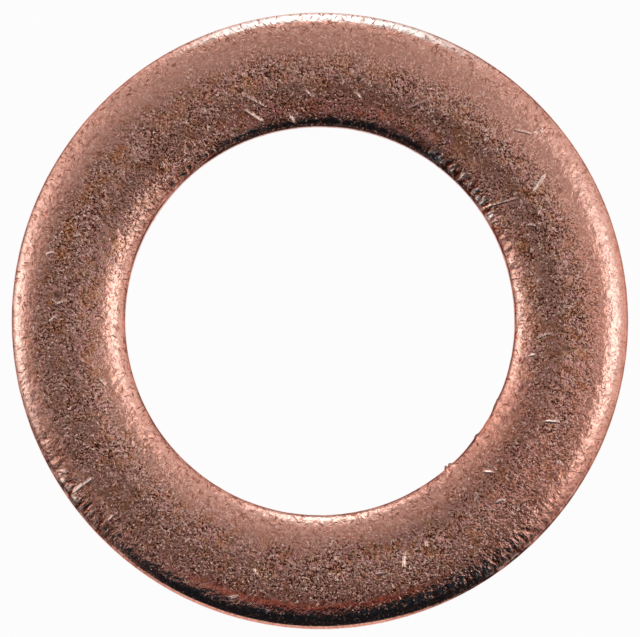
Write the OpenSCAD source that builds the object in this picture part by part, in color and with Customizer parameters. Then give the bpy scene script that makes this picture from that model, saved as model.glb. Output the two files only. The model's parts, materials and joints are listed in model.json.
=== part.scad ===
// Copper sealing washer for the hollow bolt of a brake hose.
// A flat ring blanked from soft sheet in one stroke, then tumbled. The stroke draws both
// edges of the upper face down, leaves a burnished wall below them and ends in a short
// fracture band at the foot of each wall.
// The ring lies on its underside, which is z = 0. The bore's axis is +Z.

/* [Ring] */
// Diameter of the bore
bore_d = 10.1; // [8:0.1:11]
// Diameter of the rim
outer_d = 16; // [15:0.1:20]
// Thickness at the flat land
thickness = 1.5; // [1:0.1:2.5]

/* [Drawn edges] */
// Width of the flat land between the two drawn edges
land_w = 0.6; // [0.3:0.1:1.2]
// Depth to which a drawn edge falls from the land to its wall
draw_depth = 0.35; // [0.1:0.05:0.5]

/* [Sheared walls] */
// Height of the fracture band at the foot of each wall
fracture_h = 0.3; // [0.2:0.05:0.4]
// Distance by which the fracture band leans back at its foot
fracture_lean = 0.04; // [0:0.01:0.1]
// Radius that tumbling left on the two edges of the underside
foot_r = 0.08; // [0.04:0.01:0.15]

/* [Hidden] */

// Width of each drawn edge, from its wall to the land
draw_w = ((outer_d - bore_d) / 2 - land_w) / 2;
// Level at which the burnished walls end and the drawn edges begin
wall_top = thickness - draw_depth;
// Straight steps in a drawn edge's quarter ellipse and in a foot's quarter circle
draw_steps = 18;
foot_steps = 6;
// Steps in a full turn of the ring
ring_fn = 240;
copper = [0.73, 0.47, 0.38];

// Points of a quarter ellipse about centre, from its wall side to its land side.
// out is 1 where the wall faces outwards and -1 where it faces the axis.
function drawn_edge(centre, out) = [
    for (i = [0:draw_steps])
        let (turn = 90 * i / draw_steps)
            [centre.x + out * draw_w * cos(turn), centre.y + draw_depth * sin(turn)]
];

// Points of the rounded foot, from the underside up to the fracture band.
function foot(centre, out) = [
    for (i = [0:foot_steps])
        let (turn = 90 * i / foot_steps)
            [centre.x + out * foot_r * sin(turn), centre.y - foot_r * cos(turn)]
];

// One side of the section, from the underside up to the land: foot, fracture band,
// burnished wall and drawn edge, for a wall at radius wall_r.
function side(wall_r, out) = concat(
    foot([wall_r - out * (fracture_lean + foot_r), foot_r], out),
    [[wall_r, fracture_h]],
    drawn_edge([wall_r - out * draw_w, wall_top], out)
);

function reversed(points) = [for (i = [len(points) - 1:-1:0]) points[i]];

module section() {
    polygon(concat(side(outer_d / 2, 1), reversed(side(bore_d / 2, -1))));
}

module washer() {
    color(copper) rotate_extrude($fn = ring_fn) section();
}

washer();
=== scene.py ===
"""Looks of a copper sealing washer for the hollow bolt of a brake hose.

The washer is a flat ring blanked from soft sheet in one stroke and then tumbled with many others. Its
face carries the drawn edges that the stroke left, the dents, scratches and fine pits of the tumbling, and
a thin uneven tarnish that is rubbed off where the edges fall away. It lies on a white floor in soft light.
"""

from __future__ import annotations

import json
import logging
import math
from dataclasses import dataclass, field
from enum import Enum
from typing import ClassVar, Mapping, Sequence

import bpy
import numpy as np
from mathutils import Matrix, Vector


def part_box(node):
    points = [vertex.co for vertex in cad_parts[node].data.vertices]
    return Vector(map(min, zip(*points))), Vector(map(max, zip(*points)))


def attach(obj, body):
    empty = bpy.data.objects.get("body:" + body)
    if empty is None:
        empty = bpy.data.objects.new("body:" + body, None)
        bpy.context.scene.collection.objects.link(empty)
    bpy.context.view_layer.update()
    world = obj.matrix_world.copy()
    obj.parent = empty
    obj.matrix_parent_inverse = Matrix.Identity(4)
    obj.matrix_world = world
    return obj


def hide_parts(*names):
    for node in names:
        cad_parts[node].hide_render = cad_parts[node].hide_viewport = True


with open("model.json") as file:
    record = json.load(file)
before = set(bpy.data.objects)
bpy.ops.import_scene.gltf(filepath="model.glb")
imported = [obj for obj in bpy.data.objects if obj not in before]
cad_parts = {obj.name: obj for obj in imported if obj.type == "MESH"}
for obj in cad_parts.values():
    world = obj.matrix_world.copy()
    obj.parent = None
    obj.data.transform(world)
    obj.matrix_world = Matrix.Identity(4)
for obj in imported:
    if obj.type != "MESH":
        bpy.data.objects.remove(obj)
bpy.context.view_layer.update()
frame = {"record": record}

NODE = "washer"
MM = 0.001
TURN = 2.0 * math.pi

Colour = tuple[float, float, float]
Point = tuple[float, float]

WHITE: Colour = (1.0, 1.0, 1.0)

log = logging.getLogger("washer")


class Part(Enum):
    """Stretches of the ring's section, in the order in which its outline passes them."""

    RIM_DRAW = "edge drawn down at the rim"
    LAND = "flat land"
    BORE_DRAW = "edge drawn down at the bore"
    BORE_WALL = "burnished wall of the bore"
    BORE_FRACTURE = "fracture band of the bore"
    BORE_FOOT = "rounded foot of the bore"
    UNDERSIDE = "underside"
    RIM_FOOT = "rounded foot of the rim"
    RIM_FRACTURE = "fracture band of the rim"
    RIM_WALL = "burnished wall of the rim"


class Side(Enum):
    """The two walls of the ring, and the way in which each one faces along the radius."""

    RIM = 1
    BORE = -1


def smooth(value: np.ndarray, low: float, high: float) -> np.ndarray:
    """Eases from 0 at low to 1 at high, whichever of the two is larger."""
    share = np.clip((value - low) / (high - low), 0.0, 1.0)
    return share * share * (3.0 - 2.0 * share)


def window(phi: np.ndarray, centre_deg: float, half_deg: float) -> np.ndarray:
    """1 at the centre angle, easing to 0 at half_deg to either side."""
    away = np.abs((np.degrees(phi) - centre_deg + 180.0) % 360.0 - 180.0)
    return smooth(away, half_deg, 0.0)


def bell(away: np.ndarray, half: float) -> np.ndarray:
    """1 where away is 0, falling to about a third at half to either side."""
    return np.exp(-((away / half) ** 2))


@dataclass(frozen=True)
class Arc:
    """A stretch round the ring: its middle and half width in degrees, and its weight at the middle."""

    middle: float
    half: float
    weight: float = 1.0


class SolidNoise:
    """Gradient noise in space, the same on each run for the same seed."""

    SIZE = 256
    GAIN = 1.6

    def __init__(self, seed: int) -> None:
        """Draws the lattice's order and its directions from the seed.

        Args:
            seed: Number that settles the noise.
        """
        draw = np.random.default_rng(seed)
        order = draw.permutation(self.SIZE)
        self.order = np.concatenate([order, order, order])
        ways = draw.normal(size=(self.SIZE, 3))
        self.ways = ways / np.linalg.norm(ways, axis=1, keepdims=True)

    def at(self, points: np.ndarray, per_mm: float, aside: float = 0.0) -> np.ndarray:
        """Noise between about -1 and 1.

        Args:
            points: Points in millimetres, one a row.
            per_mm: Cells of the lattice to each millimetre.
            aside: Shift in millimetres, so that two noises of one kind differ.

        Returns:
            One value for each point.
        """
        scaled = (points + aside) * per_mm
        low = np.floor(scaled).astype(int)
        part = scaled - low
        low %= self.SIZE
        ease = part * part * part * (part * (part * 6.0 - 15.0) + 10.0)
        total = np.zeros(len(points))
        for corner in np.ndindex(2, 2, 2):
            cell = low + corner
            key = self.order[self.order[self.order[cell[:, 0]] + cell[:, 1]] + cell[:, 2]]
            pull = np.einsum("ij,ij->i", self.ways[key], part - corner)
            weight = np.prod(np.where(corner, ease, 1.0 - ease), axis=1)
            total += pull * weight
        return total * self.GAIN


@dataclass
class Section:
    """Outline of the ring's section in millimetres, as radius and height along its length.

    It starts at the top of the rim's wall, passes over the face to the bore, and comes back under the
    ring. Its normal points out of the metal.
    """

    rim_r: float
    bore_r: float
    thickness: float
    wall_low: float
    wall_top: float
    land_w: float = 0.6
    fracture_lean: float = 0.04
    foot_r: float = 0.08
    curve_steps: int = 90
    spans: dict[Part, Point] = field(init=False)
    points: np.ndarray = field(init=False)
    along: np.ndarray = field(init=False)
    normals: np.ndarray = field(init=False)

    def __post_init__(self) -> None:
        """Lays the parts end to end and measures along them."""
        rim, bore, lean = self.rim_r, self.bore_r, self.fracture_lean
        stretches = {
            Part.RIM_DRAW: self._drawn(Side.RIM),
            Part.LAND: [(rim - self.draw_w, self.thickness), (bore + self.draw_w, self.thickness)],
            Part.BORE_DRAW: self._drawn(Side.BORE)[::-1],
            Part.BORE_WALL: [(bore, self.wall_top), (bore, self.wall_low)],
            Part.BORE_FRACTURE: [(bore, self.wall_low), (bore + lean, self.foot_r)],
            Part.BORE_FOOT: self._foot(Side.BORE)[::-1],
            Part.UNDERSIDE: [(self._foot_centre(side), 0.0) for side in (Side.BORE, Side.RIM)],
            Part.RIM_FOOT: self._foot(Side.RIM),
            Part.RIM_FRACTURE: [(rim - lean, self.foot_r), (rim, self.wall_low)],
            Part.RIM_WALL: [(rim, self.wall_low), (rim, self.wall_top)],
        }
        dense: list[np.ndarray] = []
        self.spans = {}
        length = 0.0
        for part, corners in stretches.items():
            path = np.array(corners)
            steps = np.linalg.norm(np.diff(path, axis=0), axis=1)
            reach = np.concatenate([[0.0], np.cumsum(steps)])
            fine = np.linspace(0.0, reach[-1], self.curve_steps, endpoint=False)
            radii, heights = (np.interp(fine, reach, path[:, axis]) for axis in (0, 1))
            dense.append(np.stack([fine + length, radii, heights], 1))
            self.spans[part] = (length, length + float(reach[-1]))
            length += float(reach[-1])
        laid = np.concatenate(dense)
        self.along, self.points = laid[:, 0], laid[:, 1:]
        tangent = np.roll(self.points, -1, axis=0) - np.roll(self.points, 1, axis=0)
        tangent /= np.linalg.norm(tangent, axis=1, keepdims=True)
        self.normals = np.stack([tangent[:, 1], -tangent[:, 0]], 1)

    @property
    def draw_w(self) -> float:
        """Width of each drawn edge, from its wall to the land."""
        return (self.rim_r - self.bore_r - self.land_w) / 2.0

    @property
    def middle_r(self) -> float:
        """Radius half way between the two walls."""
        return 0.5 * (self.rim_r + self.bore_r)

    @property
    def length(self) -> float:
        """Length of the whole outline."""
        return self.spans[Part.RIM_WALL][1]

    def _wall(self, side: Side) -> float:
        """Radius of a wall."""
        return self.rim_r if side is Side.RIM else self.bore_r

    def _foot_centre(self, side: Side) -> float:
        """Radius of the centre of a wall's rounded foot."""
        return self._wall(side) - side.value * (self.fracture_lean + self.foot_r)

    def _quarter(self, side: Side, centre: Point, reach: Point, first: float) -> list[Point]:
        """A quarter of an ellipse that bulges towards a wall.

        Args:
            side: The wall.
            centre: The ellipse's centre, as radius and height.
            reach: Its half widths along the radius and upwards.
            first: Angle of the first point above the level, in radians.

        Returns:
            Points over a quarter turn upwards.
        """
        turns = np.linspace(first, first + TURN / 4.0, self.curve_steps + 1)
        radii = centre[0] + side.value * reach[0] * np.cos(turns)
        return list(zip(radii, centre[1] + reach[1] * np.sin(turns)))

    def _drawn(self, side: Side) -> list[Point]:
        """Quarter ellipse of a drawn edge, from the top of its wall to the land."""
        centre = self._wall(side) - side.value * self.draw_w
        reach = (self.draw_w, self.thickness - self.wall_top)
        return self._quarter(side, (centre, self.wall_top), reach, 0.0)

    def _foot(self, side: Side) -> list[Point]:
        """Quarter circle of a foot, from the underside up to the fracture band."""
        centre = (self._foot_centre(side), self.foot_r)
        return self._quarter(side, centre, (self.foot_r, self.foot_r), -TURN / 4.0)

    def at(self, along: np.ndarray) -> tuple[np.ndarray, np.ndarray]:
        """Points and normals of the outline.

        Args:
            along: Distances along the outline, in millimetres.

        Returns:
            Radius and height of each point, and the same of each unit normal.
        """
        columns = (*self.points.T, *self.normals.T)
        found = np.stack([np.interp(along, self.along, column, period=self.length) for column in columns], 1)
        point, normal = found[:, :2], found[:, 2:]
        return point, normal / np.linalg.norm(normal, axis=1, keepdims=True)

    def stations(self, part: Part, first: float, last: float) -> list[float]:
        """Places for the mesh's rings on one part, its end left out.

        Args:
            part: The stretch to divide.
            first: Spacing wanted at its start.
            last: Spacing wanted at its end.

        Returns:
            Distances along the outline.
        """
        low, high = self.spans[part]
        count = max(2, round(2.0 * (high - low) / (first + last)))
        steps = np.linspace(first, last, count)
        reach = np.concatenate([[0.0], np.cumsum(steps)[:-1]]) / steps.sum()
        return list(low + reach * (high - low))


@dataclass(frozen=True)
class Scratch:
    """A straight groove in the face, from start to end in millimetres from the bore's axis.

    Its flank towards LIGHT_SIDE is the gentle one. It fades over FADE at each end, and ends RUN_OUT
    past it.
    """

    start: Point
    end: Point
    strength: float = 0.6

    LIGHT_SIDE: ClassVar[Point] = (0.54, 0.84)
    FADE: ClassVar[float] = 0.10
    RUN_OUT: ClassVar[float] = 0.03

    def beside(self, places: np.ndarray) -> tuple[np.ndarray, np.ndarray, np.ndarray]:
        """Where points lie beside the groove.

        Args:
            places: Points in plan, one a row, in millimetres.

        Returns:
            Distance from its line, above 0 towards the upper right, distance from its nearest point, and
            its strength there, which fades at both ends.
        """
        start, way = np.array(self.start), np.subtract(self.end, self.start)
        reach = float(np.hypot(*way))
        way = way / reach
        run = (places - start) @ way
        across = np.array([-way[1], way[0]])
        across *= 1.0 if across @ self.LIGHT_SIDE > 0.0 else -1.0
        side = (places - start) @ across
        taper = min(self.FADE, reach / 3.0)
        fade = smooth(run, -self.RUN_OUT, taper) * smooth(run, reach + self.RUN_OUT, reach - taper)
        return side, np.hypot(side, run - np.clip(run, 0.0, reach)), self.strength * fade


SCRATCHES: tuple[Scratch, ...] = (
    Scratch((-1.97, 5.45), (-1.47, 5.13), 1.0),
    Scratch((-0.82, 5.33), (-0.62, 5.08), 1.0),
    Scratch((-1.99, 5.83), (-1.36, 5.49), 0.4),
    Scratch((0.89, 5.93), (1.07, 5.71)),
    Scratch((-0.43, 5.98), (-0.25, 5.82)),
    Scratch((2.26, 5.47), (2.86, 5.73), 0.4),
    Scratch((1.44, 4.91), (1.57, 4.99)),
    Scratch((5.83, 3.80), (5.52, 3.30), 0.9),
    Scratch((5.16, 3.16), (4.35, 2.94), 0.5),
    Scratch((5.03, 4.93), (5.52, 4.82), 0.5),
    Scratch((5.52, 4.82), (5.66, 4.88), 0.5),
    Scratch((5.82, 4.98), (5.72, 4.86)),
    Scratch((5.42, -0.92), (5.58, -0.91), 1.0),
    Scratch((5.80, -2.63), (6.19, -2.65), 0.9),
    Scratch((5.60, -0.49), (5.99, -0.34)),
    Scratch((-6.42, -4.48), (-5.88, -4.10), 1.0),
    Scratch((-6.74, -4.21), (-6.59, -4.16), 1.0),
    Scratch((-6.43, -4.62), (-6.29, -4.62), 1.0),
    Scratch((-6.72, -3.92), (-6.55, -3.95), 0.9),
    Scratch((-5.46, -5.20), (-5.38, -5.06), 0.9),
    Scratch((2.18, -5.98), (2.16, -6.46)),
    Scratch((2.74, -5.71), (2.76, -5.90)),
    Scratch((1.43, -6.59), (1.75, -6.56)),
    Scratch((-1.73, -6.42), (-1.63, -6.64), 0.6),
    Scratch((0.42, -6.62), (0.43, -6.78), 0.5),
    Scratch((0.39, -6.10), (0.39, -6.26), 0.4),
    Scratch((-2.37, -7.21), (-2.11, -7.16), 0.9),
    Scratch((4.21, -3.93), (4.51, -3.96), 0.9),
    Scratch((4.54, -4.76), (4.80, -4.64), 0.8),
    Scratch((-5.75, -1.51), (-5.56, -1.71)),
    Scratch((-7.07, 1.71), (-6.93, 1.75), 0.7),
    Scratch((5.38, 2.46), (5.57, 2.44), 0.7),
    Scratch((-7.01, -0.05), (-6.82, 0.13)),
    Scratch((-6.77, 0.42), (-6.61, 0.48)),
)


@dataclass(frozen=True)
class Stain:
    """A brown spot of tarnish: its place from the bore's axis and its size, in millimetres."""

    place: Point
    radius: float
    strength: float = 1.0


STAINS: tuple[Stain, ...] = (
    Stain((6.60, -0.42), 0.10, 1.0),
    Stain((-7.03, 0.44), 0.09, 0.9),
    Stain((0.02, 6.10), 0.40, 0.35),
    Stain((3.70, 4.45), 0.35, 0.40),
    Stain((6.00, -0.30), 0.45, 0.30),
    Stain((-2.60, -6.25), 0.35, 0.30),
    Stain((-1.30, -6.50), 0.40, 0.30),
    Stain((4.70, -4.15), 0.35, 0.30),
    Stain((5.30, 1.90), 0.30, 0.40),
)


# Tears of the mesh over the two edges, and the finer ones that the finish adds
RIM_TEARS = (Arc(312.0, 32.0, 0.35), Arc(218.0, 24.0, 0.40))
BORE_TEARS = (Arc(42.0, 40.0, 1.40), Arc(132.0, 24.0, 0.40))
RIM_COMB = (Arc(305.0, 27.0), Arc(217.0, 26.0), Arc(270.0, 60.0, 0.25))
BORE_COMB = (Arc(42.0, 44.0), Arc(131.0, 25.0, 0.90), Arc(90.0, 60.0, 0.40))
# Uneven top of the bore's wall, and the flake and the nub that stand out of it
BORE_RAGGED = (Arc(330.0, 26.0, 0.90), Arc(20.0, 40.0, 0.35))
BORE_BURRS = (Arc(310.7, 0.8, 2.3), Arc(312.1, 0.8, 1.8), Arc(323.5, 1.2, 0.6))
# Dull ring on the bore's half of the face
SOILED = (Arc(146.0, 32.0, 0.45), Arc(300.0, 50.0, 0.20), Arc(210.0, 40.0, -0.22))
# Painted shade in the line between each drawn edge and its wall
RIM_PAINTED_DARK = (
    Arc(212.0, 28.0, 0.42),
    Arc(172.0, 50.0, 0.26),
    Arc(305.0, 30.0, 0.60),
    Arc(50.0, 34.0, 0.22),
    Arc(335.0, 24.0, 0.22),
    Arc(92.0, 34.0, -0.42),
)
BORE_PAINTED_DARK = (Arc(30.0, 60.0, 0.30), Arc(150.0, 40.0, 0.30), Arc(318.0, 45.0, 0.28), Arc(205.0, 40.0, 0.18))


@dataclass(frozen=True)
class Spots:
    """Points of the smooth ring: their places, their angles round the axis, and where they are on it."""

    section: Section
    places: np.ndarray
    phi: np.ndarray
    radius: np.ndarray
    height: np.ndarray

    @property
    def rim(self) -> np.ndarray:
        """Distance in from the rim's wall."""
        return self.section.rim_r - self.radius

    @property
    def bore(self) -> np.ndarray:
        """Distance out from the bore's wall."""
        return self.radius - self.section.bore_r

    @property
    def inset(self) -> np.ndarray:
        """Distance from the nearer wall."""
        return np.minimum(self.rim, self.bore)

    @property
    def above(self) -> np.ndarray:
        """Height above the top of the walls."""
        return self.height - self.section.wall_top

    @property
    def share(self) -> np.ndarray:
        """Place across the face, from 0 at the bore to 1 at the rim."""
        return self.bore / (self.section.rim_r - self.section.bore_r)

    def halves(self, rim: np.ndarray | float, bore: np.ndarray | float) -> np.ndarray:
        """One value on the rim's half of the face and another on the bore's."""
        return np.where(self.radius > self.section.middle_r, rim, bore)

    def weigh(self, *arcs: Arc) -> np.ndarray:
        """Sum of the arcs' weights, each easing to 0 at the arc's ends."""
        return sum(arc.weight * window(self.phi, arc.middle, arc.half) for arc in arcs)

    def held(self, middle: float, half: float, full: float = 0.5) -> np.ndarray:
        """1 over the middle of an arc, from where its window reaches full, easing to 0 at its ends."""
        return smooth(window(self.phi, middle, half), 0.0, full)

    def wrapped(self, radius: np.ndarray | float, height: np.ndarray | float) -> np.ndarray:
        """Points at the same angles, at another radius and height."""
        level = np.zeros(len(self.phi)) + height
        return np.stack([radius * np.cos(self.phi), radius * np.sin(self.phi), level], 1)


@dataclass
class Relief:
    """All that tumbling and blanking left on the smooth ring, as a height along its normal.

    A swell is its height, its waves to the millimetre, and its shift.
    """

    section: Section
    seed: int = 7
    swells: tuple[tuple[float, float, float], ...] = (
        (0.0045, 0.45, 0.0),
        (0.0014, 1.7, 31.0),
        (0.0007, 4.3, 57.0),
    )
    dings: int = 520
    ding_r: Point = (0.05, 0.17)
    ding_slope: Point = (0.03, 0.09)
    ding_reach: float = 1.7
    lip_at: float = 1.15
    lip_half: float = 0.22
    lip_height: float = 0.28
    full_depth: float = 0.008
    comb_per_mm: float = 5.5
    comb_depth: float = 0.016
    rim_comb_w: float = 0.34
    bore_comb_w: float = 0.42
    ragged_depth: float = 0.045
    score_depth: float = 0.004
    fracture_depth: float = 0.022
    crown: float = 0.022
    crown_half: float = 0.45
    crown_inwards: float = 0.15
    groove_reach: float = 0.17
    groove_steep: float = 0.024
    groove_gentle: float = 0.040
    track_r: float = 6.34
    track_drift: float = 0.0083
    track_start: float = 94.0
    track_half: float = 0.13
    noise: SolidNoise = field(init=False)

    def __post_init__(self) -> None:
        """Makes the noise that all the relief shares."""
        self.noise = SolidNoise(self.seed)

    def _crowned(self, spots: Spots) -> np.ndarray:
        """The land's slight crown, as the stroke drew its sides down too."""
        away = spots.radius - self.section.middle_r + self.crown_inwards
        return self.crown * (bell(away, self.crown_half) - 1.0)

    def _grooved(self, places: np.ndarray) -> tuple[np.ndarray, np.ndarray]:
        """Place across the nearest scratch, and how strong it is.

        Args:
            places: Points in millimetres, one a row.

        Returns:
            Distance across in widths of the flank on that side, and the strength there.
        """
        side, strength = np.full(len(places), self.groove_reach), np.zeros(len(places))
        nearest = np.full(len(places), self.groove_reach)
        for scratch in SCRATCHES:
            across, away, share = scratch.beside(places[:, :2])
            near = away < nearest
            nearest[near], side[near], strength[near] = away[near], across[near], share[near]
        return side / np.where(side < 0.0, self.groove_steep, self.groove_gentle), strength

    def _swell(self, places: np.ndarray) -> np.ndarray:
        """Slow waves of a sheet that was never quite flat."""
        return sum(high * self.noise.at(places, per_mm, aside) for high, per_mm, aside in self.swells)

    def _tumbled(self, places: np.ndarray, top: bool) -> tuple[np.ndarray, np.ndarray]:
        """Dents of other washers' edges, round to long and turned at random.

        Args:
            places: Points in millimetres, one a row.
            top: True for the face, False for the underside.

        Returns:
            Height, and how deep in a dent each point lies from 0 to 1.
        """
        draw = np.random.default_rng(self.seed + top)
        height, deep = np.zeros(len(places)), np.zeros(len(places))
        inner, outer = self.section.bore_r, self.section.rim_r
        for _ in range(self.dings if top else self.dings // 3):
            radius = math.sqrt(draw.uniform(inner**2, outer**2))
            phi, turn = draw.uniform(0.0, TURN, 2)
            long = draw.uniform(*self.ding_r) * draw.uniform(0.5, 1.0)
            wide = long * draw.uniform(0.3, 1.0)
            depth = wide * draw.uniform(*self.ding_slope)
            centre = np.array([radius * math.cos(phi), radius * math.sin(phi)])
            near = np.abs(places[:, :2] - centre).max(axis=1) < self.ding_reach * long
            offset = places[near, :2] - centre
            way = np.array([math.cos(turn), math.sin(turn)])
            run, side = offset @ way, offset @ np.array([-way[1], way[0]])
            share = np.sqrt((run / long) ** 2 + (side / wide) ** 2)
            bowl = smooth(share, 1.0, 0.0)
            height[near] += depth * (self.lip_height * bell(share - self.lip_at, self.lip_half) - bowl)
            deep[near] = np.maximum(deep[near], bowl * depth / self.full_depth)
        return height, np.clip(deep, 0.0, 1.0)

    def _combed(self, spots: Spots) -> np.ndarray:
        """Radial tears where the stroke stretched the metal over the two edges.

        Args:
            spots: Points of the smooth ring.

        Returns:
            Height along the normal, in millimetres.
        """
        rim, bore = 0.25 + spots.weigh(*RIM_TEARS), 0.30 + spots.weigh(*BORE_TEARS)
        total = np.zeros(len(spots.phi))
        for side, wall, inset, width, rough in (
            (Side.RIM, self.section.rim_r, spots.rim, self.rim_comb_w, rim),
            (Side.BORE, self.section.bore_r, spots.bore, self.bore_comb_w, bore),
        ):
            around = spots.wrapped(wall, 0.16 * inset + 3.0 * side.value)
            tears = self.noise.at(around, self.comb_per_mm)
            tears += 0.6 * self.noise.at(around, 2.1 * self.comb_per_mm, 11.0)
            total += self.comb_depth * rough * smooth(inset, width, 0.0) * tears
        return total

    def _ragged(self, spots: Spots) -> np.ndarray:
        """Uneven top edge of the bore's wall, with a burr flake and a small nub.

        Args:
            spots: Points of the smooth ring.

        Returns:
            Height along the normal, in millimetres.
        """
        near = smooth(np.abs(spots.above + 0.02), 0.26, 0.0) * smooth(spots.bore, 0.30, 0.0)
        around = spots.wrapped(self.section.bore_r, 0.0)
        wander = self.noise.at(around, 2.3, 5.0) + 0.5 * self.noise.at(around, 6.1, 9.0)
        uneven = (0.10 + spots.weigh(*BORE_RAGGED)) * wander
        return self.ragged_depth * near * (uneven + spots.weigh(*BORE_BURRS))

    def _walled(self, spots: Spots) -> np.ndarray:
        """Upright score lines of the burnished walls, and the torn fracture bands below them.

        Args:
            spots: Points of the smooth ring.

        Returns:
            Height along the normal, in millimetres.
        """
        around = spots.wrapped(spots.radius, 0.12 * spots.height)
        low = self.section.wall_low
        torn = self.noise.at(spots.places, 7.0) + 0.5 * self.noise.at(spots.places, 15.0)
        burnished = smooth(spots.above, 0.02, -0.1) * smooth(spots.height, low, low + 0.08)
        wavy = low + 0.07 * self.noise.at(around, 1.3, 3.0)
        fractured = smooth(spots.height, wavy + 0.03, wavy - 0.04) * smooth(spots.height, 0.0, 0.05)
        scored = self.score_depth * burnished * self.noise.at(around, 9.0)
        return scored + self.fracture_depth * fractured * (torn - 0.5)

    def _tarnish(self, spots: Spots) -> np.ndarray:
        """Brown stains: a broken track along the upper left, and single spots.

        Args:
            spots: Points of the smooth ring.

        Returns:
            Share of stain, from 0 to 1.
        """
        places = spots.places
        drift = self.track_drift * (np.degrees(spots.phi) - self.track_start)
        middle = self.track_r + drift + 0.10 * self.noise.at(places, 0.9)
        broken = smooth(self.noise.at(places, 1.6) + 0.5 * self.noise.at(places, 4.5), -0.10, 0.30)
        total = bell(spots.radius - middle, self.track_half) * broken * spots.held(134.0, 48.0, 0.3)
        total *= 0.45 + spots.weigh(Arc(158.0, 45.0, 0.55))
        edge = 1.0 + 0.5 * self.noise.at(places, 3.0)
        for stain in STAINS:
            away = edge * np.hypot(places[:, 0] - stain.place[0], places[:, 1] - stain.place[1])
            total = np.maximum(total, stain.strength * smooth(away, stain.radius, 0.3 * stain.radius))
        return np.clip(total, 0.0, 1.0)

    def _red_reflection_and_tint(self, spots: Spots) -> np.ndarray:
        """A painted red reflection in a band along the rim's shaded side, and a red haze at the lower right.

        Args:
            spots: Points of the smooth ring.

        Returns:
            Share of red, from 0 to 1.
        """
        # Painted red reflection in a band along the rim's shaded side
        band = bell(spots.share - 0.812, 0.036) * spots.held(268.0, 36.0)
        haze = spots.weigh(Arc(328.0, 34.0, 0.26))
        haze += spots.weigh(Arc(4.0, 26.0, 0.22)) * smooth(spots.share, 0.52, 0.70)
        return np.maximum(band, haze)

    def _soiled(self, spots: Spots) -> np.ndarray:
        """A faint dull ring on the bore's half of the face, strongest at the upper left."""
        return (0.22 + spots.weigh(*SOILED)) * bell(spots.share - 0.33, 0.09)

    def _polish_and_highlight(self, spots: Spots) -> np.ndarray:
        """How bare the drawn edges are rubbed where they stand out, with a painted highlight: whitest where
        the highlights fall, most along the top of the rim.

        Args:
            spots: Points of the smooth ring.

        Returns:
            Share by which the copper is bare and painted white, from 0 to 1.
        """
        rim, bore = spots.rim, spots.bore
        top = smooth(rim, 0.25, 0.18) * spots.held(88.0, 42.0, 0.8)
        right = smooth(rim, 0.60, 0.40) * smooth(rim, 0.10, 0.20) * spots.weigh(Arc(2.0, 40.0, 0.26))
        left = smooth(rim, 0.36, 0.22) * spots.weigh(Arc(180.0, 34.0, 0.26))
        inside = smooth(bore, 0.55, 0.35) * smooth(bore, 0.10, 0.22) * spots.weigh(Arc(180.0, 40.0, 0.14))
        inside += 0.28 * smooth(bore, 0.32, 0.20) * spots.weigh(Arc(270.0, 36.0), Arc(0.0, 30.0, 0.7))
        return np.maximum.reduce([top, right, left, inside])

    def _grit(self, spots: Spots, rubbed: np.ndarray) -> np.ndarray:
        """How coarse the tumbling left each place: finer on the drawn edges, least on the shaded ones.

        Args:
            spots: Points of the smooth ring.
            rubbed: Share by which the tarnish is rubbed off.

        Returns:
            How strongly pits and flecks show, about 1 in the middle of the face.
        """
        calm = 0.58 - spots.halves(spots.weigh(Arc(280.0, 75.0, 0.12)), spots.weigh(Arc(75.0, 110.0, 0.40)))
        inside = spots.halves(0.0, smooth(spots.inset, 1.05, 0.45) * spots.weigh(Arc(195.0, 80.0)))
        calm *= np.maximum(rubbed, inside)
        patchy = 1.0 + 0.35 * self.noise.at(spots.places, 0.9, 77.0)
        patchy += 0.45 * self.noise.at(spots.places, 3.2, 41.0)
        return np.clip(patchy * (1.0 - calm) * (1.0 - 0.45 * self._red_reflection_and_tint(spots)), 0.15, 1.4)

    def _rubbed(self, spots: Spots) -> np.ndarray:
        """Where the tarnish is rubbed off: both drawn edges, widest where they face the upper right.

        Args:
            spots: Points of the smooth ring.

        Returns:
            Share by which it is rubbed off, from 0 to 1.
        """
        uneven = spots.inset + 0.16 * self.noise.at(spots.places, 1.1, 13.0)
        uneven += 0.06 * self.noise.at(spots.places, 4.0)
        rim_reach = 0.85 + 0.45 * np.cos(spots.phi - math.radians(70.0))
        bore_reach = 0.52 + 0.40 * np.cos(spots.phi - math.radians(260.0))
        reach = spots.halves(rim_reach, bore_reach)
        return smooth(uneven, reach + 0.22, reach - 0.55)

    def _comb(self, spots: Spots) -> np.ndarray:
        """Where fine radial tears run in: at both ends of the rim's shaded side and of the bore's.

        Args:
            spots: Points of the smooth ring.

        Returns:
            Strength of the tears. Above 1 the tops of the tears get a painted highlight.
        """
        rim = smooth(spots.rim, 0.85, 0.15) * np.clip(1.25 * spots.weigh(*RIM_COMB), 0.0, 1.25)
        bore = smooth(spots.bore, 0.60, 0.10) * np.clip(spots.weigh(*BORE_COMB), 0.0, 1.0)
        return np.maximum(rim, bore * (1.0 + spots.weigh(Arc(42.0, 40.0, 0.7))))

    def _beaten(self, spots: Spots) -> np.ndarray:
        """Where knocks left the drawn edges uneven: all round, but less on the two shaded sides.

        Args:
            spots: Points of the smooth ring.

        Returns:
            Share by which they are uneven, from 0 to 1.
        """
        shaded = spots.halves(spots.weigh(Arc(270.0, 58.0)), spots.weigh(Arc(90.0, 58.0)))
        smoothed = spots.halves(spots.weigh(Arc(5.0, 50.0, 0.6)), 0.0)
        return smooth(spots.inset, 0.80, 0.30) * (1.0 - 0.75 * shaded) * (1.0 - smoothed)

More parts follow.
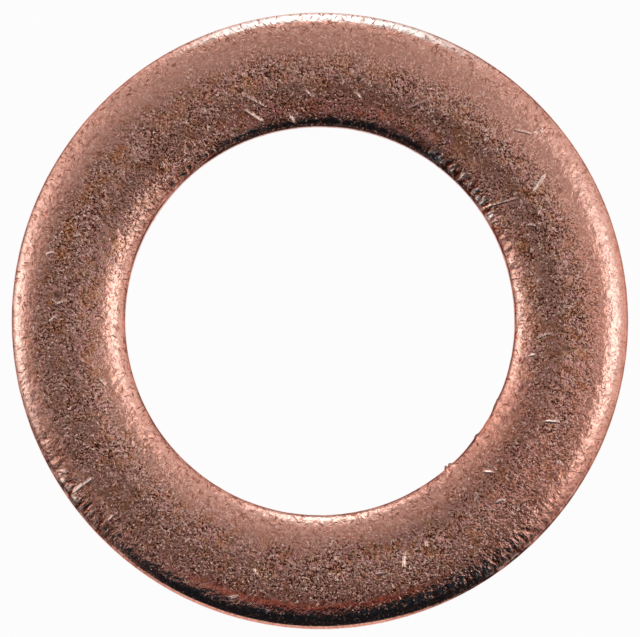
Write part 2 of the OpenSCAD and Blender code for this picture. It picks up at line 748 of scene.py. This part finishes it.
    def _painted_dark_line(self, spots: Spots) -> np.ndarray:
        """Painted shade and dark reflection where a drawn edge breaks off into its wall, broadest and
        blackest at the top of the bore.

        Args:
            spots: Points of the smooth ring.

        Returns:
            Share of painted dark, from 0 to 1.
        """
        above, places = spots.above, spots.places
        # Painted shade: the broad black part at the top of the bore, where that edge faces away from the
        # light
        shadow = spots.halves(0.0, 0.95 * spots.held(84.0, 76.0))
        rim = 0.42 + spots.weigh(*RIM_PAINTED_DARK) - 0.42 * spots.held(266.0, 38.0)
        light = spots.halves(rim, 0.62 + spots.weigh(*BORE_PAINTED_DARK))
        light *= 0.55 + 0.45 * smooth(self.noise.at(places, 2.6, 19.0), -0.5, 0.2)
        end = 0.065 + spots.halves(
            0.005 + spots.weigh(Arc(214.0, 24.0, 0.05)), spots.weigh(Arc(80.0, 60.0, 0.10))
        )
        end += 0.050 * shadow * (self.noise.at(places, 5.0) + 0.7 * self.noise.at(places, 9.0, 23.0))
        foot = -0.06 - 0.22 * shadow - spots.halves(spots.weigh(Arc(308.0, 26.0, 0.45)), 0.0)
        line = smooth(above, end + 0.035, end) * smooth(above, foot - 0.04, foot + 0.04)
        return line * np.maximum(light, shadow)

    def _painted_dark_band(self, spots: Spots) -> np.ndarray:
        """Painted dark reflection: the ragged black band along the foot of the rim's drawn edge, at the
        bottom of the face, where that edge mirrors the dark in front of the ring.

        Args:
            spots: Points of the smooth ring.

        Returns:
            Share of painted dark, from 0 to 1.
        """
        above = spots.above
        top = 0.165 + spots.weigh(Arc(268.0, 60.0, 0.07)) + 0.025 * self.noise.at(spots.places, 7.0, 29.0)
        low = 0.088 - spots.weigh(Arc(303.0, 24.0, 0.075))
        band = smooth(above, top + 0.02, top - 0.02) * smooth(above, low - 0.02, low + 0.02)
        return spots.halves(0.97 * spots.held(271.0, 58.0), 0.0) * band

    def _painted_dark(self, spots: Spots) -> np.ndarray:
        """All the painted dark: shade in the line above each wall, the dark reflection in the band, and a
        painted shadow on the burr flake.

        Args:
            spots: Points of the smooth ring.

        Returns:
            Share of painted dark, from 0 to 1.
        """
        edge = smooth(spots.above, 0.05, 0.01) * smooth(spots.above, -0.10, -0.05)
        flake = spots.halves(0.0, smooth(window(spots.phi, 311.4, 1.6), 0.1, 0.4) * edge)
        return np.maximum.reduce([self._painted_dark_line(spots), flake, self._painted_dark_band(spots)])

    def at(self, along: np.ndarray, phi: np.ndarray) -> tuple[np.ndarray, dict[str, np.ndarray]]:
        """Places of surface points with all the relief on them, and what covers them.

        Args:
            along: Distances along the section, in millimetres.
            phi: Angles round the axis, in radians.

        Returns:
            Positions in millimetres, and what the finish reads, by name: shares, and the last two in
            flank widths of a scratch and in millimetres.
        """
        point, normal = self.section.at(along)
        plan = np.stack([np.cos(phi), np.sin(phi)], 1)
        places = np.column_stack([plan * point[:, :1], point[:, 1]])
        outward = np.column_stack([plan * normal[:, :1], normal[:, 1]])
        spots = Spots(self.section, places, phi, point[:, 0], point[:, 1])
        face = smooth(spots.above, -0.12, 0.05)
        under = smooth(normal[:, 1], -0.3, -0.9)
        dents, deep = self._tumbled(places, top=True)
        under_dents, under_deep = self._tumbled(places, top=False)
        height = self._swell(places) + face * (dents + self._crowned(spots)) + under * under_dents
        height += face * self._combed(spots)
        height += (1.0 - under) * (self._ragged(spots) + self._walled(spots))
        moved = places + outward * height[:, None]
        moved[:, 2] = np.maximum(moved[:, 2], 0.0)
        groove_side, groove = self._grooved(places)
        rubbed = self._rubbed(spots)
        cover = {
            "dirt": np.maximum(face * np.maximum(deep, self._soiled(spots)), under * under_deep),
            "stain": self._tarnish(spots) * face,
            "blush": self._red_reflection_and_tint(spots) * face,
            "polish": self._polish_and_highlight(spots) * face,
            "grit": self._grit(spots, rubbed),
            "rubbed": rubbed,
            "comb": self._comb(spots) * face,
            "beaten": self._beaten(spots) * face,
            "brink": self._painted_dark(spots),
            "groove": groove * face,
            "groove_side": groove_side,
            "wall_r": spots.halves(self.section.rim_r, self.section.bore_r),
        }
        return moved, cover


@dataclass(frozen=True)
class Wire:
    """An output socket of a node tree that takes part in Python's arithmetic."""

    graph: Graph
    socket: bpy.types.NodeSocket | None

    def out(self, name: str) -> Wire:
        """Another output of the same node."""
        return Wire(self.graph, self.socket.node.outputs[name])

    def _math(self, operation: str, *values: Wire | float) -> Wire:
        """Result of a Math node on the given values."""
        return self.graph.node("ShaderNodeMath", {"operation": operation}, dict(enumerate(values)))

    def __add__(self, other: Wire | float) -> Wire:
        """Sum of two values."""
        return self._math("ADD", self, other)

    def __radd__(self, other: float) -> Wire:
        """Sum of a number and this value."""
        return self._math("ADD", other, self)

    def __sub__(self, other: Wire | float) -> Wire:
        """Difference of two values."""
        return self._math("SUBTRACT", self, other)

    def __rsub__(self, other: float) -> Wire:
        """Difference of a number and this value."""
        return self._math("SUBTRACT", other, self)

    def __mul__(self, other: Wire | float) -> Wire:
        """Product of two values."""
        return self._math("MULTIPLY", self, other)

    def __rmul__(self, other: float) -> Wire:
        """Product of a number and this value."""
        return self._math("MULTIPLY", other, self)

    def most(self, other: Wire | float) -> Wire:
        """The larger of two values."""
        return self._math("MAXIMUM", self, other)

    def exp(self) -> Wire:
        """Euler's number raised to this value."""
        return self._math("EXPONENT", self)

    def eased(self, low: float, high: float) -> Wire:
        """Eases from 0 where this value is low to 1 where it is high.

        Args:
            low: Value at which the result is 0.
            high: Value at which it is 1, above or below low.

        Returns:
            The eased value.
        """
        ends = {"Value": self, "From Min": low, "From Max": high}
        if low > high:
            ends = {"Value": self, "From Min": high, "From Max": low, "To Min": 1.0, "To Max": 0.0}
        return self.graph.node("ShaderNodeMapRange", {"interpolation_type": "SMOOTHSTEP"}, ends)


class Graph:
    """Adds nodes to one node tree."""

    def __init__(self, tree: bpy.types.NodeTree) -> None:
        """Starts with an empty tree."""
        self.tree = tree
        tree.nodes.clear()

    def node(
        self,
        kind: str,
        settings: Mapping[str, object] | None = None,
        sockets: Mapping[str | int, object] | None = None,
    ) -> Wire:
        """Adds a node.

        Args:
            kind: The node's type.
            settings: Its own settings, set before its sockets; stops are those of a colour ramp.
            sockets: Values or wires for its inputs, by name or by number.

        Returns:
            Its first output that is in use.
        """
        made = self.tree.nodes.new(kind)
        for name, value in (settings or {}).items():
            if name == "stops":
                self._set_stops(made.color_ramp, value)
            else:
                setattr(made, name, value)
        for name, value in (sockets or {}).items():
            self._feed(self._input(made, name), value)
        outputs = [socket for socket in made.outputs if socket.enabled]
        return Wire(self, outputs[0] if outputs else None)

    @staticmethod
    def _set_stops(ramp: bpy.types.ColorRamp, stops: Sequence[tuple[float, Colour]]) -> None:
        """Gives a colour ramp its stops.

        Args:
            ramp: The ramp.
            stops: Place and colour of each stop.
        """
        while len(ramp.elements) > 1:
            ramp.elements.remove(ramp.elements[-1])
        for index, (place, colour) in enumerate(stops):
            stop = ramp.elements[0] if index == 0 else ramp.elements.new(place)
            stop.position = place
            stop.color = (*colour, 1.0)

    @staticmethod
    def _input(made: bpy.types.Node, name: str | int) -> bpy.types.NodeSocket:
        """Input of a node by number, or by name among those in use.

        Args:
            made: The node.
            name: Number or name of the input.

        Returns:
            The input.
        """
        if isinstance(name, int):
            return made.inputs[name]
        return next(socket for socket in made.inputs if socket.name == name and socket.enabled)

    def _feed(self, socket: bpy.types.NodeSocket, value: object) -> None:
        """Links a wire to a socket, or sets the socket's own value.

        Args:
            socket: The input.
            value: A wire, a number, a colour or a vector.
        """
        if isinstance(value, Wire):
            self.tree.links.new(value.socket, socket)
        elif socket.type == "RGBA":
            socket.default_value = (*value, 1.0)
        else:
            socket.default_value = value

    def mix(self, share: Wire | float, start: Wire | Colour, end: Wire | Colour) -> Wire:
        """Colour between two others, by share."""
        return self.node("ShaderNodeMix", {"data_type": "RGBA"}, {"Factor": share, "A": start, "B": end})

    def blend(self, share: Wire | float, start: Wire, end: Wire) -> Wire:
        """Shader between two others, by share."""
        return self.node("ShaderNodeMixShader", {}, {0: share, 1: start, 2: end})

    def output(self, surface: Wire) -> None:
        """Makes a shader the surface of the material."""
        self.node("ShaderNodeOutputMaterial", {}, {"Surface": surface})

    def diffuse(self, colour: Colour) -> Wire:
        """Shader of a matt surface."""
        return self.node("ShaderNodeBsdfDiffuse", {}, {"Color": colour})

    def vector(self, operation: str, *values: Wire | Sequence[float]) -> Wire:
        """Result of a Vector Math node."""
        return self.node("ShaderNodeVectorMath", {"operation": operation}, dict(enumerate(values)))

    def number(self, operation: str, *values: Wire | Sequence[float]) -> Wire:
        """Number that a Vector Math node gives, such as a length."""
        return self.vector(operation, *values).out("Value")

    def scaled(self, vector: Wire | Sequence[float], amount: Wire | float) -> Wire:
        """A vector times a number."""
        return self.node("ShaderNodeVectorMath", {"operation": "SCALE"}, {0: vector, "Scale": amount})

    def plan(self, vector: Wire) -> Wire:
        """A vector with its upright part taken out."""
        return self.vector("MULTIPLY", vector, (1.0, 1.0, 0.0))

    def noise(self, place: Wire, scale: float, detail: float = 1.0, roughness: float = 0.5) -> Wire:
        """Value of a noise texture."""
        sockets = {"Vector": place, "Scale": scale, "Detail": detail, "Roughness": roughness}
        return self.node("ShaderNodeTexNoise", {}, sockets)

    def share(self, name: str) -> Wire:
        """What the mesh carries under a name."""
        return self.node("ShaderNodeAttribute", {"attribute_name": name}).out("Fac")


def blank_material(name: str) -> tuple[bpy.types.Material, Graph]:
    """Makes a material with no nodes.

    Args:
        name: Name of the material.

    Returns:
        The material, and the graph that adds its nodes.
    """
    made = bpy.data.materials.new(name)
    made.use_nodes = True
    return made, Graph(made.node_tree)


def put(name: str, data: bpy.types.Mesh | bpy.types.Camera) -> bpy.types.Object:
    """Adds an object to the scene.

    Args:
        name: Name of the object.
        data: Its mesh or camera.

    Returns:
        The object.
    """
    made = bpy.data.objects.new(name, data)
    bpy.context.scene.collection.objects.link(made)
    return made


@dataclass(frozen=True)
class Marks:
    """Small marks turned at random, one at most in each cell of a grid that lies flat.

    Each has the grid's shift and its cells to the millimetre, the half length and half width of a mark
    in cells, and the share of the cells that hold one.
    """

    shift: Point
    per_mm: float
    long: float
    wide: float
    share: float

    def drawn(self, graph: Graph, plan: Wire) -> Wire:
        """Adds the marks.

        Args:
            graph: The tree to add to.
            plan: Position in plan, in millimetres.

        Returns:
            0 outside the marks, rising to 1 in the middle of each.
        """
        place = graph.vector("ADD", plan, (*self.shift, 0.0))
        sockets = {"Vector": place, "Scale": self.per_mm}
        cells = graph.node("ShaderNodeTexVoronoi", {"voronoi_dimensions": "2D"}, sockets)
        offset = graph.vector("SUBTRACT", place, cells.out("Position"))
        colour = cells.out("Color")
        way = graph.vector("NORMALIZE", graph.plan(graph.vector("SUBTRACT", colour, (0.5, 0.5, 0.5))))
        run = graph.number("DOT_PRODUCT", offset, way) * self.per_mm
        reach = graph.number("LENGTH", offset) * self.per_mm
        across = reach * reach - run * run
        spread = run * run * (1.0 / self.long**2) + across * (1.0 / self.wide**2)
        drawn = graph.node("ShaderNodeSeparateColor", {}, {"Color": colour}).out("Blue")
        return spread.eased(1.0, 0.1) * drawn.eased(self.share + 0.02, self.share - 0.02)


@dataclass(frozen=True)
class Copper:
    """Soft copper with a thin brown tarnish, tumbled until it is all fine pits and flecks."""

    fresh: Colour = (0.92, 0.46, 0.36)
    dulled: Colour = (0.80, 0.39, 0.30)
    rosy: Colour = (0.88, 0.405, 0.355)
    olive: Colour = (0.74, 0.38, 0.26)
    rusty: Colour = (0.70, 0.27, 0.13)
    bare: Colour = (1.0, 0.70, 0.61)
    scored: Colour = (1.0, 0.84, 0.76)
    polished_highlight: Colour = (1.0, 0.90, 0.84)
    red_reflection_and_tint_colour: Colour = (0.95, 0.27, 0.17)
    stained: Colour = (0.76, 0.26, 0.08)
    pitted: Colour = (0.10, 0.030, 0.019)
    reddened: Colour = (0.50, 0.15, 0.08)
    scarred: Colour = (0.26, 0.065, 0.035)
    # Black that paints shade and dark reflections over the metal
    painted_black: Colour = (0.013, 0.012, 0.014)
    grazing: Colour = (0.80, 0.45, 0.38)
    roughness: float = 0.10
    grain_height: float = 0.008
    mottle_height: float = 0.012
    fleck_depth: float = 0.006
    pit_depth: float = 0.0016
    speck_depth: float = 0.0040
    glint_depth: float = 0.003
    streak_height: float = 0.021
    groove_depth: float = 0.031
    flecks: Marks = Marks((0.0, 0.0), 6.0, 0.50, 0.16, 0.40)
    pits: Marks = Marks((9.1, 4.3), 13.0, 0.46, 0.31, 0.48)
    glints: Marks = Marks((3.7, 1.9), 4.2, 0.40, 0.12, 0.25)
    specks: Marks = Marks((5.3, 2.7), 8.5, 0.28, 0.18, 0.40)
    scars: Marks = Marks((7.3, 5.1), 4.6, 0.42, 0.11, 0.55)

    @staticmethod
    def _streaks(graph: Graph, place: Wire, wall_r: Wire) -> Wire:
        """Fine radial streaks along both walls, as noise that changes slowly along the radius.

        Args:
            graph: The tree to add to.
            place: Position in millimetres.
            wall_r: Radius of the nearer wall, in millimetres.

        Returns:
            Noise from 0 to 1.
        """
        plan = graph.plan(place)
        lengthwise = graph.node("ShaderNodeCombineXYZ", {}, {"Z": graph.number("LENGTH", plan) * 0.45})
        around = graph.scaled(graph.vector("NORMALIZE", plan), wall_r)
        return graph.noise(graph.vector("ADD", around, lengthwise), 8.5)

    def material(self) -> bpy.types.Material:
        """Makes the material.

        Returns:
            The finished material.
        """
        made, graph = blank_material("copper")
        place = graph.scaled(graph.node("ShaderNodeTexCoord").out("Object"), 1.0 / MM)
        covers = ("stain", "dirt", "grit", "rubbed", "brink", "comb", "beaten", "blush", "polish", "groove")
        stain, dirt, grit, rubbed, brink, comb, beaten, blush, polish, groove = map(graph.share, covers)
        broad, patches = graph.noise(place, 1.1, 2.0, 0.6), graph.noise(place, 2.6, 2.0, 0.6)
        mottle, hue = graph.noise(place, 5.0), graph.noise(place, 5.5)
        grain = graph.noise(place, 17.0, 1.0, 0.6)
        bend = graph.vector("MULTIPLY", hue.out("Color"), (0.08, 0.08, 0.0))
        bent = graph.vector("ADD", graph.plan(place), bend)
        kinds = (self.flecks, self.pits, self.glints, self.specks, self.scars)
        flecks, pits, glints, specks, scars = (marks.drawn(graph, bent) for marks in kinds)
        level = mottle - 0.5
        veins = (level * level).eased(0.0012, 0.0) * hue.eased(0.42, 0.55)
        streaks = self._streaks(graph, place, graph.share("wall_r"))
        groove_side = graph.share("groove_side")
        scratch = (groove_side * groove_side * -1.0).exp() * groove

        tarnished = graph.mix(hue.eased(0.41, 0.59), self.olive, self.rosy)
        tarnished = graph.mix(patches.eased(0.50, 0.60) * 0.8, tarnished, self.rusty)
        tarnished = graph.mix(broad.eased(0.35, 0.65) * 0.6, tarnished, self.dulled)
        cleaned = graph.mix(rubbed, tarnished, self.fresh)
        # Painted red reflection along the rim's shaded side and a red tint, then bare edges whitened as a
        # painted highlight
        cleaned = graph.mix(polish, graph.mix(blush * 0.9, cleaned, self.red_reflection_and_tint_colour), self.polished_highlight)
        browned = graph.mix(stain, cleaned, self.stained)
        shiny = (grain.eased(0.56, 0.68) * 0.75).most(glints).most(specks * 0.9) * grit
        worn = graph.mix(scratch, graph.mix(shiny, browned, self.bare), self.scored)
        dark = (grain.eased(0.47, 0.36) * 0.9).most(flecks.most(pits) * 0.85) * grit
        dark = dark.most(dirt * 0.7) * (1.0 - scratch)
        torn = (scars.most(veins * 0.8) * beaten).most(streaks.eased(0.47, 0.37) * comb) * 0.85
        colour = graph.mix(dark, worn, graph.mix(rubbed, self.pitted, self.reddened))
        # Painted highlight: the tops of the strongest tears are mixed towards near white
        painted_crest_highlights = streaks.eased(0.54, 0.62) * (comb - 1.0).eased(0.0, 0.5) * 0.75
        colour = graph.mix(painted_crest_highlights, graph.mix(torn, colour, self.scarred), self.polished_highlight)

        pitting = grain * self.grain_height - flecks * self.fleck_depth - glints * self.glint_depth
        pitting = pitting - pits * self.pit_depth - specks * self.speck_depth
        knocks = mottle * (1.0 + 0.8 * beaten) * self.mottle_height
        lines = streaks * comb * comb * self.streak_height - scratch * self.groove_depth
        height = pitting * grit + knocks + lines - scars * beaten * self.glint_depth
        matt = glints.most(specks).most(scratch * 0.3)
        finish = {
            "Base Color": colour,
            "Metallic": 1.0,
            "Roughness": self.roughness + 0.08 * mottle + 0.08 * dark + 0.30 * matt,
            "Specular Tint": self.grazing,
            "Normal": graph.node("ShaderNodeBump", {}, {"Strength": 1.0, "Distance": MM, "Height": height}),
        }
        metal = graph.node("ShaderNodeBsdfPrincipled", {}, finish)
        glimmer = specks.most(grain.eased(0.54, 0.68) * 0.5) * 0.34
        # Painted shade and dark reflection: matt black mixed over the metal, with specks of metal left in it
        graph.output(graph.blend(brink * (1.0 - glimmer), metal, graph.diffuse(self.painted_black)))
        return made


@dataclass
class Washer:
    """The one piece: the ring, meshed over its section and wrapped round the bore's axis."""

    relief: Relief
    finish: Copper
    segments: int = 960
    name: str = "copper_washer"
    spacing: dict[Part, Point] = field(
        default_factory=lambda: {
            Part.RIM_DRAW: (0.028, 0.058),
            Part.LAND: (0.058, 0.058),
            Part.BORE_DRAW: (0.058, 0.028),
            Part.BORE_WALL: (0.09, 0.09),
            Part.BORE_FRACTURE: (0.055, 0.055),
            Part.BORE_FOOT: (0.035, 0.035),
            Part.UNDERSIDE: (0.17, 0.17),
            Part.RIM_FOOT: (0.035, 0.035),
            Part.RIM_FRACTURE: (0.055, 0.055),
            Part.RIM_WALL: (0.09, 0.09),
        }
    )
    fine_parts: tuple[Part, ...] = (Part.RIM_DRAW, Part.LAND, Part.BORE_DRAW)

    def _rings(self) -> list[tuple[float, int]]:
        """Divides the section into the rings of the mesh.

        Returns:
            Distance along the section and number of segments of each ring.
        """
        rings: list[tuple[float, int]] = []
        for part in Part:
            segments = self.segments if part in self.fine_parts else self.segments // 2
            rings += [(along, segments) for along in self.relief.section.stations(part, *self.spacing[part])]
        first_coarse = next(index for index, ring in enumerate(rings) if ring[1] != self.segments)
        rings[first_coarse] = (rings[first_coarse][0], self.segments)
        return rings

    @staticmethod
    def _strip(low: int, low_count: int, high: int, high_count: int) -> list[list[int]]:
        """Faces between two rings of the mesh.

        Args:
            low: First vertex of the one ring.
            low_count: Its number of vertices.
            high: First vertex of the next ring.
            high_count: Its number of vertices, the same, twice or half as many.

        Returns:
            Each face as its vertices.
        """
        steps = min(low_count, high_count)
        faces = []
        for step in range(steps):
            below, above = (
                [first + (step * count // steps + k) % count for k in range(count // steps + 1)]
                for first, count in ((low, low_count), (high, high_count))
            )
            faces.append(below[::-1] + above)
        return faces

    def _flat_mesh(self) -> bpy.types.Mesh:
        """Lays the mesh out flat, with the length along the section as x and the angle as y.

        Returns:
            The mesh, its vertices ring by ring.
        """
        rings = self._rings()
        verts: list[tuple[float, float, float]] = []
        starts: list[int] = []
        for along, segments in rings:
            starts.append(len(verts))
            verts += [(along, TURN * step / segments, 0.0) for step in range(segments)]
        faces: list[list[int]] = []
        for index, (_, segments) in enumerate(rings):
            after = (index + 1) % len(rings)
            faces += self._strip(starts[index], segments, starts[after], rings[after][1])
        mesh = bpy.data.meshes.new(self.name)
        mesh.from_pydata(verts, [], faces)
        return mesh

    def build(self) -> bpy.types.Object:
        """Builds the ring and dresses it.

        Returns:
            The finished object, in the place of the plain ring.
        """
        mesh = self._flat_mesh()
        spread = np.zeros(len(mesh.vertices) * 3)
        mesh.vertices.foreach_get("co", spread)
        spread = spread.reshape(-1, 3)
        places, cover = self.relief.at(spread[:, 0], spread[:, 1])
        mesh.vertices.foreach_set("co", (places * MM).astype(np.float32).ravel())
        for name, values in cover.items():
            mesh.attributes.new(name, "FLOAT", "POINT").data.foreach_set("value", values.astype(np.float32))
        mesh.polygons.foreach_set("use_smooth", [True] * len(mesh.polygons))
        mesh.update()
        ring = put(self.name, mesh)
        mesh.materials.append(self.finish.material())
        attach(ring, "root")
        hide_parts(NODE)
        triangles = sum(len(face.vertices) - 2 for face in mesh.polygons)
        log.info("%s: %d vertices, %d triangles", self.name, len(mesh.vertices), triangles)
        return ring


@dataclass(frozen=True)
class SoftBox:
    """A soft box of the world, by angles seen from the ring, in degrees.

    It is brightest at its azimuth and falls to about a third at spread to either side. Upwards it
    reaches from low to high, and both of those edges fade over fade to either side.
    """

    azimuth: float
    spread: float
    low: float
    high: float
    fade: float
    strength: float
    tint: Colour = (1.0, 0.99, 0.98)

    def share(self, graph: Graph, level: Wire, rise: Wire) -> Wire:
        """Brightness of the box towards each direction.

        Args:
            graph: The world's tree.
            level: The direction's level part, of length 1.
            rise: The direction's upright part, as the sine of its elevation.

        Returns:
            The strength on the box, fading to 0 past its edges.
        """
        turn = math.radians(self.azimuth)
        near = graph.number("DOT_PRODUCT", level, (math.cos(turn), math.sin(turn), 0.0))
        narrow = 1.0 / (1.0 - math.cos(math.radians(self.spread)))
        wide = ((near - 1.0) * narrow).exp()
        foot = rise.eased(*(math.sin(math.radians(self.low + way * self.fade)) for way in (-1, 1)))
        top = rise.eased(*(math.sin(math.radians(self.high + way * self.fade)) for way in (1, -1)))
        return wide * foot * top * self.strength


SOFT_BOXES: tuple[SoftBox, ...] = (
    SoftBox(-2.0, 45.0, 2.0, 70.0, 8.0, 0.38),
    SoftBox(-2.0, 32.0, 46.5, 64.0, 3.0, 1.12, (0.88, 1.04, 1.05)),
    SoftBox(-25.0, 16.0, 20.0, 46.0, 6.0, 0.22),
    SoftBox(32.0, 18.0, 22.0, 48.0, 6.0, 0.20),
    SoftBox(16.0, 30.0, 76.5, 88.0, 1.5, 0.62),
    SoftBox(172.0, 28.0, -15.0, 63.0, 15.0, 0.80),
    SoftBox(178.0, 20.0, 13.0, 43.0, 6.0, 0.82, (0.84, 1.04, 1.05)),
    SoftBox(180.0, 45.0, 62.0, 84.0, 8.0, 0.06),
    SoftBox(90.0, 25.0, -17.0, 54.0, 14.0, 0.27),
    SoftBox(92.0, 20.0, -22.0, 35.0, 5.0, 1.45, (0.94, 1.0, 1.0)),
    SoftBox(222.0, 28.0, 60.0, 72.0, 4.0, 0.29),
    SoftBox(272.0, 24.0, 59.0, 71.0, 3.0, 0.22, (1.0, 0.2, 0.15)),
)

# Even light over the whole sky: place towards SWEEP_AZIMUTH, brightness, and share of blue
SWEEP_AZIMUTH = 69.0
SWEEP: tuple[tuple[float, float, float], ...] = (
    (-1.00, 0.14, 1.1),
    (-0.27, 0.14, 1.0),
    (-0.13, 0.150, 1.0),
    (-0.05, 0.21, 1.0),
    (0.035, 0.315, 1.0),
    (0.115, 0.36, 1.0),
    (0.235, 0.39, 1.0),
    (0.335, 0.415, 1.0),
    (0.535, 0.44, 1.0),
    (1.00, 0.48, 1.0),
)


@dataclass
class Studio:
    """White floor, soft light from the back and both sides, and the camera almost straight above."""

    section: Section
    white: float = 0.988
    floor_half: float = 400.0
    floor_drop: float = 0.02
    lens: float = 1000.0
    sensor: float = 36.0
    frame_width: float = 16.602
    tilt: float = 2.2
    aim: Point = (0.0047, 0.0480)
    card_top: tuple[Point, ...] = ((-15.6, 18.6), (0.0, 19.2), (15.4, 28.6))
    card_foot: float = 9.0
    card_away: float = 16.0
    card_colour: Colour = (0.008, 0.040, 0.070)
    paper: Colour = (0.8, 0.8, 0.8)
    glow_share: float = 0.98

    @staticmethod
    def _sheet(
        name: str, finish: str, corners: Sequence[tuple[float, ...]]
    ) -> tuple[bpy.types.Object, Graph]:
        """Makes a flat piece of the stage.

        Args:
            name: Name of the piece.
            finish: Name of its material.
            corners: Its corners in millimetres, in order round it.

        Returns:
            The piece, and the nodes of its material.
        """
        mesh = bpy.data.meshes.new(name)
        places = [tuple(value * MM for value in corner) for corner in corners]
        mesh.from_pydata(places, [], [tuple(range(len(places)))])
        made = put(name, mesh)
        material, graph = blank_material(finish)
        mesh.materials.append(material)
        return made, graph

    def card(self) -> bpy.types.Object:
        """Stands a black card in front of the ring, which its lower edges mirror and the camera doesn't see.

        Returns:
            The card.
        """
        foot = [(self.card_top[0][0], self.card_foot), (self.card_top[-1][0], self.card_foot)]
        corners = [(x, -self.card_away, z) for x, z in (*foot, *self.card_top[::-1])]
        made, graph = self._sheet("black_card", "black_card", corners)
        graph.output(graph.diffuse(self.card_colour))
        made.visible_camera = made.visible_shadow = made.visible_diffuse = False
        return made

    def floor(self) -> bpy.types.Object:
        """Lays the white floor just below the ring.

        Returns:
            The floor.
        """
        half, level = self.floor_half, -self.floor_drop
        corners = [(-half, -half, level), (half, -half, level), (half, half, level), (-half, half, level)]
        made, graph = self._sheet("floor", "white_floor", corners)
        path = graph.node("ShaderNodeLightPath")
        seen = path.out("Is Camera Ray").most(path.out("Is Glossy Ray"))
        seen = seen.most(path.out("Is Transmission Ray"))
        glow = graph.node("ShaderNodeEmission", {}, {"Color": WHITE, "Strength": self.white})
        lit = graph.blend(seen * self.glow_share, graph.diffuse(self.paper), glow)
        behind = graph.node("ShaderNodeNewGeometry").out("Backfacing")
        graph.output(graph.blend(behind, lit, graph.node("ShaderNodeBsdfTransparent")))
        return made

    def light(self) -> bpy.types.World:
        """Lights the ring from a world that the camera sees as plain white.

        Returns:
            The world.
        """
        world = bpy.data.worlds.new("studio")
        world.use_nodes = True
        bpy.context.scene.world = world
        graph = Graph(world.node_tree)
        way = graph.vector("NORMALIZE", graph.node("ShaderNodeTexCoord").out("Generated"))
        parts = graph.node("ShaderNodeSeparateXYZ", {}, {"Vector": way})
        level = graph.vector("NORMALIZE", graph.plan(way))
        stops = tuple((0.5 + 0.5 * place, (glow, glow, glow * tint)) for place, glow, tint in SWEEP)
        turn = math.radians(SWEEP_AZIMUTH)
        across = graph.number("DOT_PRODUCT", way, (math.cos(turn), math.sin(turn), 0.0))
        studio = graph.node("ShaderNodeValToRGB", {"stops": stops}, {"Fac": across * 0.5 + 0.5})
        for box in SOFT_BOXES:
            lit = graph.scaled(box.tint, box.share(graph, level, parts.out("Z")))
            studio = graph.vector("ADD", studio, lit)
        unseen = graph.node("ShaderNodeBackground", {}, {"Color": studio, "Strength": 1.0})
        plain = graph.node("ShaderNodeBackground", {}, {"Color": WHITE, "Strength": self.white})
        surface = graph.blend(graph.node("ShaderNodeLightPath").out("Is Camera Ray"), unseen, plain)
        graph.node("ShaderNodeOutputWorld", {}, {"Surface": surface})
        return world

    def camera(self) -> bpy.types.Object:
        """Hangs the camera above the ring, tilted just enough to show a sliver of the walls that face it.

        +Y is at the top of the picture.

        Returns:
            The scene's camera.
        """
        data = bpy.data.cameras.new("camera")
        data.lens, data.sensor_width = self.lens, self.sensor
        made = put("camera", data)
        away = self.frame_width * self.lens / self.sensor * MM
        target = Matrix.Translation(Vector((self.aim[0], self.aim[1], self.section.wall_top)) * MM)
        turn = Matrix.Rotation(math.radians(self.tilt), 4, "X")
        made.matrix_world = target @ turn @ Matrix.Translation((0.0, 0.0, away))
        data.clip_start, data.clip_end = 0.1 * away, 4.0 * away
        bpy.context.scene.camera = made
        return made


def ring_section() -> Section:
    """Reads the ring's sizes from the frame.

    Returns:
        The section, in millimetres.
    """
    low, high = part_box(NODE)
    bore = next(mount for mount in frame["record"]["mounts"] if mount["name"] == "bore")
    middle = bore["pos_m"][2] / MM
    half = bore["dims"]["length_mm"] / 2.0
    return Section(
        rim_r=(high.x - low.x) / 2.0 / MM,
        bore_r=bore["dims"]["r_mm"],
        thickness=(high.z - low.z) / MM,
        wall_low=middle - half,
        wall_top=middle + half,
    )


def main() -> None:
    """Builds the ring, then the floor, the light and the camera."""
    logging.basicConfig(level=logging.INFO, format="%(name)s: %(message)s")
    section = ring_section()
    log.info("section: rim %.2f mm, bore %.2f mm", section.rim_r, section.bore_r)
    Washer(Relief(section), Copper()).build()
    studio = Studio(section)
    studio.floor()
    studio.card()
    studio.light()
    studio.camera()
    bpy.context.scene.view_settings.view_transform = "Standard"
    bpy.context.scene.cycles.use_denoising = False


if __name__ == "__main__":
    main()
